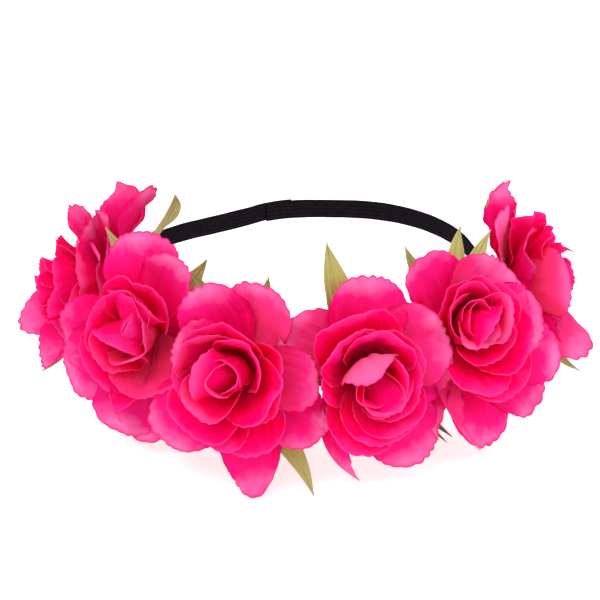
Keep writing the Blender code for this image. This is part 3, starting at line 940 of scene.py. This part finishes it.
def elastic_strip():
    """The elastic as one woven strip whose ends overlap at the back."""
    points, ups = strip_line()
    along = unit(np.gradient(points, axis=0))
    ups = unit(ups - along * (ups * along).sum(axis=1, keepdims=True))
    outs = np.cross(ups, along)
    across = np.linspace(-1, 1, 37)
    thick = STRIP_THICKNESS / 2 * np.sqrt(1 - across ** 10)
    thick = thick + CORD_RELIEF * np.cos(CORDS * math.pi * across) * (1 - across ** 6)
    high = np.concatenate((across, across[-2:0:-1])) * STRIP_WIDTH / 2
    deep = np.concatenate((thick, -thick[-2:0:-1]))
    run = np.linalg.norm(points[1] - points[0]) * np.arange(len(points))
    pinch = 1 + 0.008 * np.sin(run / (7 * MM)) + 0.006 * np.sin(run / (2.3 * MM))  # an uneven width
    rings = (points[:, None] + ups[:, None] * (high * pinch[:, None])[:, :, None]
             + outs[:, None] * deep[None, :, None])
    cloth = np.stack((np.repeat(run, len(high)), np.tile(high, len(points)),
                      np.zeros(len(points) * len(high))), axis=-1)
    faces = tube_faces(len(points), len(high))
    obj = mesh_object("elastic_strip", rings.reshape(-1, 3), faces, {"cloth": cloth}, ELASTIC)
    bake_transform(obj)
    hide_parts("elastic_front", "elastic_left_run", "elastic_right_run", "elastic_back",
                "elastic_overlap_end")


def thread_tube(name, line, radius, sides=8):
    """A round thread along a line of points, with closed ends."""
    along = unit(np.gradient(line, axis=0))
    side = unit(np.cross(along, np.tile(np.array(TACK_OUT), (len(line), 1))))
    turns = np.linspace(0, 2 * math.pi, sides, endpoint=False)
    rings = line[:, None] + radius * (np.cos(turns)[None, :, None] * side[:, None]
                                      + np.sin(turns)[None, :, None] * np.cross(side, along)[:, None])
    return mesh_object(name, rings.reshape(-1, 3), tube_faces(len(line), sides), {}, THREAD)


def bar_tack():
    """The zigzag of thread that joins the overlapping ends."""
    low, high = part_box("bar_tack_stitching")
    middle = (low + high) / 2
    up = Vector((0, 0, 1))
    side = TACK_OUT.cross(up)
    passes = 2 * TACK_PASSES + 1
    line = []
    for i in range(passes):
        height = (i / (passes - 1) - 0.5) * TACK_LENGTH
        across = TACK_HALF if i % 2 else -TACK_HALF
        line += [middle + up * height + side * across * share + TACK_OUT * TACK_SINK * (1 - share * share)
                 for share in TACK_TURN]
    line = smoothed(np.array([list(point) for point in line]), TACK_BLUR)
    obj = thread_tube("bar_tack_thread", line, TACK_RADIUS)
    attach(obj, "elastic_back")
    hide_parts("bar_tack_stitching")


RING_CENTRE = ring_centre()
TACK_AWAY = sum(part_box("bar_tack_stitching"), Vector()) / 2 - RING_CENTRE
TACK_OUT = Vector((TACK_AWAY.x, TACK_AWAY.y, 0)).normalized()
elastic_strip()
bar_tack()


# ---------------------------------------------------------------- stage

def add_light(name, place, size, power):
    """A soft white light that faces the middle of the ring."""
    data = bpy.data.lights.new(name, "AREA")
    data.size = size
    data.energy = power
    light = bpy.data.objects.new(name, data)
    light.location = RING_CENTRE + Vector(place)
    light.rotation_euler = (-Vector(place)).to_track_quat("-Z", "Y").to_euler()
    bpy.context.scene.collection.objects.link(light)


def make_stage():
    """The white floor, the even studio light and the two soft lamps."""
    bpy.ops.mesh.primitive_plane_add(size=FLOOR_SIZE, location=(0, 0, -FLOOR_DEPTH))
    floor = bpy.context.object
    floor.name = "floor"
    material, tree, shader = new_material("floor_white")
    place = node_of(tree, "ShaderNodeTexCoord").outputs["Object"]
    colour = ramp(tree, noise(tree, place, 3.0), ((0.0, (0.90,) * 3), (1.0, (0.93,) * 3)))
    tree.links.new(colour, shader.inputs["Base Color"])
    shader.inputs["Roughness"].default_value = 0.9
    shader.inputs["Emission Color"].default_value = (1.0, 1.0, 1.0, 1.0)
    shader.inputs["Emission Strength"].default_value = FLOOR_GLOW
    floor.data.materials.append(material)
    world = bpy.data.worlds.new("studio")
    world.use_nodes = True
    background = world.node_tree.nodes["Background"]
    background.inputs["Color"].default_value = (1, 1, 1, 1)
    background.inputs["Strength"].default_value = SKY_STRENGTH
    bpy.context.scene.world = world
    add_light("key", KEY_PLACE, KEY_SIZE, KEY_POWER)
    add_light("fill", FILL_PLACE, FILL_SIZE, FILL_POWER)
    bpy.context.scene.view_settings.view_transform = "Standard"


def make_camera():
    """The photograph's viewing angle: from in front and a little above."""
    elevation = math.radians(CAMERA_ELEVATION)
    data = bpy.data.cameras.new("camera")
    data.sensor_width = CAMERA_SENSOR
    data.lens = CAMERA_LENS
    camera = bpy.data.objects.new("camera", data)
    back = Vector((0, -math.cos(elevation), math.sin(elevation)))
    up = Vector((0, math.sin(elevation), math.cos(elevation)))
    camera.location = RING_CENTRE + back * CAMERA_DISTANCE - up * CAMERA_DROP
    camera.rotation_euler = (-back).to_track_quat("-Z", "Y").to_euler()
    bpy.context.scene.collection.objects.link(camera)
    bpy.context.scene.camera = camera


make_stage()
make_camera()
